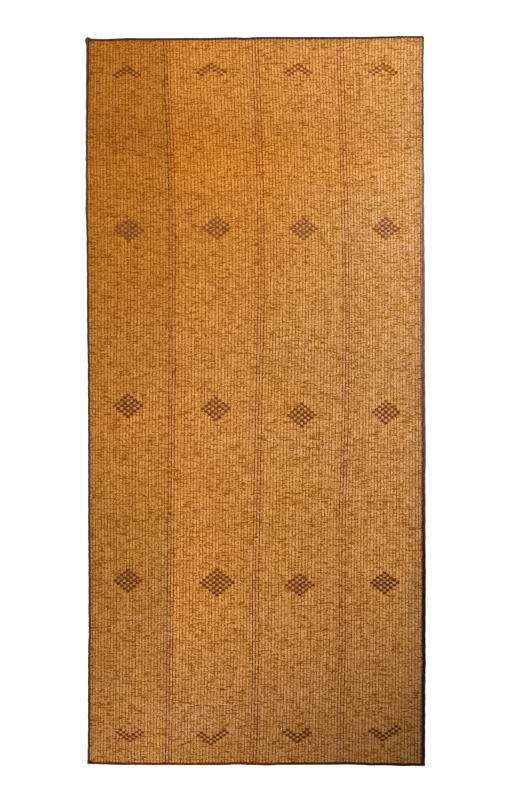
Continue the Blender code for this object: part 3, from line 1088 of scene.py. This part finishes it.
class Graph:
    """A new material with a Principled shader, and short calls that add nodes to it."""

    def __init__(self, name, roughness, settings):
        self.material = bpy.data.materials.new(name)
        self.material.use_nodes = True
        self.tree = self.material.node_tree
        self.shader = self.tree.nodes["Principled BSDF"]
        self.shader.inputs["Roughness"].default_value = roughness
        for socket, value in settings.items():
            self.shader.inputs[socket].default_value = value

    def add(self, kind, inputs=(), output=0, **settings):
        """A node with settings and inputs, each a value or another node's output. Gives one output."""
        node = self.tree.nodes.new(kind)
        for name, value in settings.items():
            setattr(node, name, value)
        for socket, value in dict(inputs).items():
            self.feed(node.inputs[socket], value)
        return node.outputs[output]

    def feed(self, socket, value):
        if isinstance(value, bpy.types.NodeSocket):
            self.tree.links.new(value, socket)
        else:
            socket.default_value = value

    def number(self, name):
        """A number that the mesh keeps on its points."""
        return self.add("ShaderNodeAttribute", output="Fac", attribute_name=name)

    def vector(self, name):
        """A colour or a vector that the mesh keeps on its points."""
        return self.add("ShaderNodeAttribute", output="Vector", attribute_name=name)

    def place(self):
        return self.add("ShaderNodeTexCoord", output="Object")

    def math(self, operation, first, second=0.0, third=0.0):
        return self.add("ShaderNodeMath", {0: first, 1: second, 2: third}, operation=operation)

    def combine(self, x=0.0, y=0.0, z=0.0):
        return self.add("ShaderNodeCombineXYZ", {0: x, 1: y, 2: z})

    def stretch(self, vector, scale):
        return self.add("ShaderNodeVectorMath", {0: vector, 1: scale}, operation="MULTIPLY")

    def times(self, vector, factor):
        """A vector times a number."""
        return self.add("ShaderNodeVectorMath", {0: vector, "Scale": factor}, operation="SCALE")

    def noise(self, vector, scale, detail=2.0, roughness=0.5):
        inputs = {"Vector": vector, "Scale": scale, "Detail": detail, "Roughness": roughness}
        return self.add("ShaderNodeTexNoise", inputs, output="Fac")

    def cells(self, vector):
        """One random number for each whole-numbered place of a vector."""
        whole = self.add("ShaderNodeVectorMath", {0: vector}, operation="FLOOR")
        return self.add("ShaderNodeTexWhiteNoise", {"Vector": whole}, noise_dimensions="3D")

    def span(self, value, low, high, start=0.0, end=1.0):
        """A value from start to end as it goes from low to high, and no further."""
        inputs = {"Value": value, "From Min": low, "From Max": high, "To Min": start, "To Max": end}
        return self.add("ShaderNodeMapRange", inputs, clamp=True)

    def varied(self, noise, start, end):
        """A factor that goes from start to end over the values that most of a noise has."""
        return self.span(noise, *NOISE_RANGE, start, end)

    def product(self, *factors):
        made = factors[0]
        for factor in factors[1:]:
            made = self.math("MULTIPLY", made, factor)
        return made

    def tinted(self, colour, screen_tone):
        """A colour made darker or lighter as the photograph's tones go: the darker, the redder."""
        powers = [self.math("POWER", screen_tone, power) for power in TONE_POWERS]
        return self.add("ShaderNodeVectorMath", {0: colour, 1: self.combine(*powers)}, operation="MULTIPLY")

    def mix(self, factor, first, second):
        inputs = {"Factor": factor, 4: first, 5: second}
        return self.add("ShaderNodeMix", inputs, output=1, data_type="VECTOR")

    def bump(self, height, distance, strength=1.0):
        inputs = {"Height": height, "Distance": distance, "Strength": strength}
        normal = self.add("ShaderNodeBump", inputs)
        self.tree.links.new(normal, self.shader.inputs["Normal"])

    def in_weave(self, column, reed, steps):
        """A place in a noise: how much it moves on for a column and for a reed, and its layer."""
        across, up, layer = steps
        return self.combine(self.math("MULTIPLY", column, across), self.math("MULTIPLY", reed, up), layer)

    def finish(self, colour, roughness):
        self.tree.links.new(colour, self.shader.inputs["Base Color"])
        self.tree.links.new(roughness, self.shader.inputs["Roughness"])
        return self.material


# What turns the field's mean colour into the reeds' own, and that into the reeds' inside a motif.
REED_SHARE = (1.11, 1.2, 1.4)
LACE_SHARE = (1.03, 1.13, 1.2)
STRIPE_LACE_SHARE = (1.33, 0.97, 0.9)
MOTIF_REED_SHARE = (0.93, 0.95, 1.3)

# How a tone on the screen acts on linear red, green and blue: darker is redder, lighter is paler.
TONE_POWERS = (2.05, 3.5, 9.0)

# The tones of the laces against the reeds', on the screen.
LACE_TONE = 0.64
STRIPE_LACE_TONE = 0.46

# Where the reeds' noises are read: how much they move on for a column and for a reed, and their layer. They
# make the long and the short dark marks, whole reeds that differ, and groups of bits in a column that do.
DASHES = (0.38, 7.3, 0.0)
DOTS = (2.6, 7.3, 4.0)
RUNS = (0.05, 3.7, 9.0)
GROUPS = (1.3, 0.05, 0.0)

# How the tone goes with each number: where its change starts and ends, and the tones there. First for a bit
# of reed, a dark mark, a group, the height on a reed, which paints shade on its sides, and the nearness to a
# lace, which paints shade and leather stain beside it.
BIT_TONES = (0.0, 0.6, 0.92, 1.05)
MARK_TONES = (0.57, 0.62, 1.0, 0.74)
GROUP_TONES = (0.35, 0.65, 0.97, 1.03)
CREST_SHADE_TONES = (0.0, 1.0, 0.86, 1.02)
LACE_SHADE_AND_STAIN_TONES = (0.1, 0.17, 0.95, 1.0)

# Then for a lace's small dark spots, for a lace under a reed, where painted shade darkens it, and for the
# binding towards its inner edge, where painted shade darkens it too.
SPOT_TONES = (0.54, 0.62, 1.0, 0.75)
DIVE_SHADE_TONES = (0.0, 1.0, 1.0, 0.72)
INNER_SHADE_TONES = (0.5, 1.0, 1.0, 0.8)

# The tones over most of a noise: of the reeds' runs and fibres, of their blotches, and of the wear of the
# laces, the motifs and the binding.
RUN_AND_FIBRE_TONES = (0.97, 1.03)
BLOTCH_TONES = (0.98, 1.02)
LACE_WEAR_TONES = (0.94, 1.06)
MOTIF_WEAR_TONES = (0.9, 1.1)
BINDING_WEAR_TONES = (0.82, 1.2)

# The tones are a power of themselves that is higher at the mat's lower end, which is more worn: the places
# along it in metres, and the powers there.
CONTRAST_PLACES = (-1.2, 1.6)
CONTRAST_POWERS = (1.07, 0.86)

# No bit of reed is lighter than this, so that few are much lighter than the rest and more are darker.
LIGHTEST_TONE = 1.08
LIGHTEST_BLUR = 0.12

# How fine the noises are, in turns to the metre: fibres along the reeds, blotches, the leather's grain and
# creases, and the laces' small dark spots.
FIBRE_SCALE = (60.0, 1500.0, 1500.0)
BLOTCH_SCALE = 14.0
GRAIN_SCALE = 900.0
CREASE_SCALE = 260.0
SPOT_SCALE = (62.0, 105.0, 62.0)

# The wear of the laces, the motifs and the binding: how fine it is, and its detail.
LACE_WEAR = (70.0, 3.0)
MOTIF_WEAR = (120.0, 3.0)
BINDING_WEAR = (45.0, 4.0)

# How rough each finish is, from one end of its noise to the other, and how deep and how strong its relief.
REED_ROUGHNESS, REED_RELIEF = (0.5, 0.68), (0.12 * MM, 0.6)
LACE_ROUGHNESS, LACE_RELIEF = (0.62, 0.48), (0.08 * MM, 0.5)
MOTIF_ROUGHNESS, MOTIF_RELIEF = (0.6, 0.45), (0.1 * MM, 0.5)
BINDING_ROUGHNESS, BINDING_RELIEF = (0.6, 0.42), (0.12 * MM, 0.6)

# From how far outside a motif to how far inside it the reeds take on its colour, in columns.
MOTIF_EDGE = (-0.4, 0.4)

# How much each finish shines, and the two colours of the motifs' leather.
WEAVE_GLOSS, STRIPE_GLOSS, MOTIF_GLOSS, BINDING_GLOSS = 0.04, 0.02, 0.03, 0.05
MOTIF_COLOURS = (linear(98, 46, 6), linear(110, 54, 11))


def field_contrast(graph, screen_tone):
    """A tone made stronger towards the mat's lower end."""
    along_mat = graph.add("ShaderNodeSeparateXYZ", {0: graph.place()}, output=1)
    return graph.math("POWER", screen_tone, graph.span(along_mat, *CONTRAST_PLACES, *CONTRAST_POWERS))


def reed_material():
    """Dry split reeds: each bit of reed between two laces has its own tone, with fibres along it."""
    graph = Graph("reed_finish", 0.6, {"Specular IOR Level": WEAVE_GLOSS})
    column, reed, crest = graph.number("column"), graph.number("reed"), graph.number("crest")
    whole = graph.math("FLOOR", column)
    bit = graph.cells(graph.combine(column, reed, 0.5))
    dashes = graph.noise(graph.in_weave(column, reed, DASHES), 1.0, 1.0)
    dots = graph.noise(graph.in_weave(column, reed, DOTS), 1.0, 1.0)
    run = graph.noise(graph.in_weave(column, reed, RUNS), 1.0)
    fibre = graph.noise(graph.stretch(graph.place(), FIBRE_SCALE), 1.0, 3.0, 0.6)
    blotch = graph.noise(graph.place(), BLOTCH_SCALE, 3.0)
    group = graph.noise(graph.in_weave(whole, reed, GROUPS), 1.0, 1.0)
    screen_tone = graph.product(
        graph.span(bit, *BIT_TONES),
        graph.span(dashes, *MARK_TONES),
        graph.span(dots, *MARK_TONES),
        graph.span(group, *GROUP_TONES),
        graph.varied(run, *RUN_AND_FIBRE_TONES),
        graph.varied(fibre, *RUN_AND_FIBRE_TONES),
        graph.varied(blotch, *BLOTCH_TONES),
        # painted shade: a reed darker on its sides than on its crest
        graph.span(crest, *CREST_SHADE_TONES),
        # painted shade and leather stain on the reeds beside each lace
        graph.span(graph.math("PINGPONG", column, 0.5), *LACE_SHADE_AND_STAIN_TONES),
    )
    screen_tone = graph.math("SMOOTH_MIN", screen_tone, LIGHTEST_TONE, LIGHTEST_BLUR)
    base = graph.stretch(graph.vector("drift"), REED_SHARE)
    rows = graph.math("ABSOLUTE", graph.number("motif_row"))
    columns = graph.math("ABSOLUTE", graph.number("motif_column"))
    reach = graph.math("SUBTRACT", graph.number("motif_reach"), graph.math("ADD", rows, columns))
    inside = graph.span(reach, *MOTIF_EDGE)
    base = graph.mix(inside, base, graph.stretch(base, MOTIF_REED_SHARE))
    graph.bump(fibre, *REED_RELIEF)
    colour = graph.tinted(base, field_contrast(graph, screen_tone))
    return graph.finish(colour, graph.span(bit, 0.0, 1.0, *REED_ROUGHNESS))


def leather_grain(graph):
    """Fine leather grain and creases, as a height from 0 to 1."""
    inputs = {"Vector": graph.place(), "Scale": GRAIN_SCALE}
    pebbles = graph.add("ShaderNodeTexVoronoi", inputs, output="Distance", feature="F1")
    creases = graph.noise(graph.place(), CREASE_SCALE, 4.0, 0.6)
    return graph.math("ADD", graph.math("MULTIPLY", pebbles, 0.5), creases)


def lace_material(name, lace_tone, lace_share, gloss):
    """Worn golden or brown leather, with painted shade where the lace dives under the reeds."""
    graph = Graph(name, 0.55, {"Specular IOR Level": gloss})
    grain = leather_grain(graph)
    wear = graph.noise(graph.place(), *LACE_WEAR)
    spot = graph.noise(graph.stretch(graph.place(), SPOT_SCALE), 1.0, 1.0)
    screen_tone = graph.product(
        lace_tone,
        graph.number("tone"),
        graph.varied(wear, *LACE_WEAR_TONES),
        graph.span(spot, *SPOT_TONES),
        # painted shade on a lace where it runs under a reed
        graph.span(graph.number("dive"), *DIVE_SHADE_TONES),
    )
    base = graph.stretch(graph.vector("drift"), lace_share)
    graph.bump(grain, *LACE_RELIEF)
    colour = graph.tinted(base, field_contrast(graph, screen_tone))
    return graph.finish(colour, graph.varied(wear, *LACE_ROUGHNESS))


def motif_material():
    """Dark red-brown leather, a little worn on its crown."""
    graph = Graph("motif_leather_finish", 0.55, {"Specular IOR Level": MOTIF_GLOSS})
    grain = leather_grain(graph)
    wear = graph.noise(graph.place(), *MOTIF_WEAR)
    screen_tone = graph.product(graph.number("tone"), graph.varied(wear, *MOTIF_WEAR_TONES))
    base = graph.times(graph.mix(wear, *MOTIF_COLOURS), graph.number("shade"))
    graph.bump(grain, *MOTIF_RELIEF)
    return graph.finish(graph.tinted(base, screen_tone), graph.varied(wear, *MOTIF_ROUGHNESS))


def binding_material(name):
    """Dark goat leather, paler where the fold is rubbed, with painted shade at its inner edge."""
    graph = Graph(name, 0.5, {"Specular IOR Level": BINDING_GLOSS})
    grain = leather_grain(graph)
    wear = graph.noise(graph.place(), *BINDING_WEAR)
    # painted shade towards the binding's inner edge
    inner = graph.span(graph.number("across"), *INNER_SHADE_TONES)
    tone = graph.product(graph.number("tone"), graph.varied(wear, *BINDING_WEAR_TONES), inner)
    graph.bump(grain, *BINDING_RELIEF)
    return graph.finish(graph.times(graph.vector("drift"), tone), graph.varied(wear, *BINDING_ROUGHNESS))


def floor_material():
    """Matt, pale and nearly even."""
    graph = Graph("floor_finish", 0.9, {"Specular IOR Level": 0.0})
    speckle = graph.noise(graph.place(), 3.0, 1.0)
    tone = graph.span(speckle, 0.0, 1.0, 0.93, 0.94)
    return graph.finish(graph.combine(tone, tone, tone), graph.span(speckle, 0.0, 1.0, 0.88, 0.9))


# Stage.

# The photograph's frame: its size and the mat's middle in it in pixels, and a pixel's size on the mat.
PHOTO_WIDTH, PHOTO_HEIGHT = 528, 792
MAT_MIDDLE_X, MAT_MIDDLE_Y = 255.7, 401.0
PIXEL = 5.2 * MM
CAMERA_HEIGHT = 14.0
SENSOR = 36.0
FARTHEST = 100.0
FLOOR_HALF = 60.0
FLOOR_DROP = 0.2 * MM

# The light: how bright the white sky is, and the softbox's size, power in watts, place and turn in degrees.
SKY_STRENGTH = 0.8
SOFTBOX_SIZE = 7.0
SOFTBOX_POWER = 1480.0
SOFTBOX_PLACE = (-4.0, 4.0, 12.0)
SOFTBOX_TURN = (-18.4, -17.5, 0.0)


def build_floor():
    """A plain pale floor, just under the mat."""
    corners = ((-1, -1), (1, -1), (1, 1), (-1, 1))
    mesh = bpy.data.meshes.new("floor")
    points = [(x * FLOOR_HALF, y * FLOOR_HALF, -FLOOR_DROP) for x, y in corners]
    mesh.from_pydata(points, [], [(0, 1, 2, 3)])
    mesh.materials.append(floor_material())
    floor = bpy.data.objects.new("floor", mesh)
    bpy.context.scene.collection.objects.link(floor)


def build_camera():
    """A camera straight above the mat, with the photograph's frame."""
    data = bpy.data.cameras.new("camera")
    data.sensor_width = SENSOR
    data.lens = SENSOR * CAMERA_HEIGHT / (PHOTO_HEIGHT * PIXEL)
    data.clip_end = FARTHEST
    camera = bpy.data.objects.new("camera", data)
    x = (PHOTO_WIDTH / 2 - MAT_MIDDLE_X) * PIXEL
    y = (MAT_MIDDLE_Y - PHOTO_HEIGHT / 2) * PIXEL
    camera.location = (x, y, CAMERA_HEIGHT)
    bpy.context.scene.collection.objects.link(camera)
    bpy.context.scene.camera = camera


def build_light():
    """A white sky and one large softbox from the upper left."""
    world = bpy.data.worlds.new("world")
    world.use_nodes = True
    sky = world.node_tree.nodes["Background"]
    sky.inputs["Color"].default_value = (1.0, 1.0, 1.0, 1.0)
    sky.inputs["Strength"].default_value = SKY_STRENGTH
    bpy.context.scene.world = world
    data = bpy.data.lights.new("softbox", "AREA")
    data.shape = "SQUARE"
    data.size = SOFTBOX_SIZE
    data.energy = SOFTBOX_POWER
    softbox = bpy.data.objects.new("softbox", data)
    softbox.location = SOFTBOX_PLACE
    softbox.rotation_euler = [math.radians(turn) for turn in SOFTBOX_TURN]
    bpy.context.scene.collection.objects.link(softbox)


def set_view():
    bpy.context.scene.view_settings.view_transform = "Standard"


def build_mat():
    """Every piece of the mat, each riding on the mat's one body."""
    lines = reed_lines()
    reeds = build_reeds(lines, reed_material())
    lace_finish = lace_material("lace_finish", LACE_TONE, LACE_SHARE, WEAVE_GLOSS)
    stripe_finish = lace_material("stripe_lace_finish", STRIPE_LACE_TONE, STRIPE_LACE_SHARE, STRIPE_GLOSS)
    leather = [build_motifs(motif_material())]
    for panel in range(PANELS):
        columns = range(COUNTS[2 * panel] + 1, COUNTS[2 * panel + 1])
        inner = [column for column in columns if not in_stripe(column)]
        seed = PANEL_LACE_SEED + panel
        leather.append(build_laces(f"laces_panel_{panel + 1}", inner, lines, seed, lace_finish))
    striped = [column for column in range(COLUMNS) if in_stripe(column)]
    leather.append(build_laces("laces_stripes", striped, lines, STRIPE_LACE_SEED, stripe_finish))
    binding_finish = binding_material("binding_finish")
    strips = {
        "binding_left": side_strip(LEFT),
        "binding_right": side_strip(RIGHT),
        "binding_top": end_strip(TOP),
        "binding_bottom": end_strip(BOTTOM),
    }
    for seed, (node, strip) in enumerate(strips.items(), start=STRIP_SEED):
        piece = build_strip(f"folded_{node}", strip, seed, binding_finish)
        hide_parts(node)
        leather.append(piece)
    stitch_finish = binding_material("stitch_finish")
    leather.append(build_stitches(strips.values(), stitch_finish))
    leather.append(build_corner_lap("corner_lap", CORNER_LAP, LAP_COLOUR, binding_finish))
    leather.append(build_corner_lap("corner_knot", CORNER_KNOT, KNOT_COLOUR, binding_finish))
    leather.append(build_nubs(stitch_finish))
    for piece in leather:
        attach(piece, "root")
    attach(reeds, "root")
    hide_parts("reed_field")


set_view()
build_camera()
build_light()
build_floor()
build_mat()
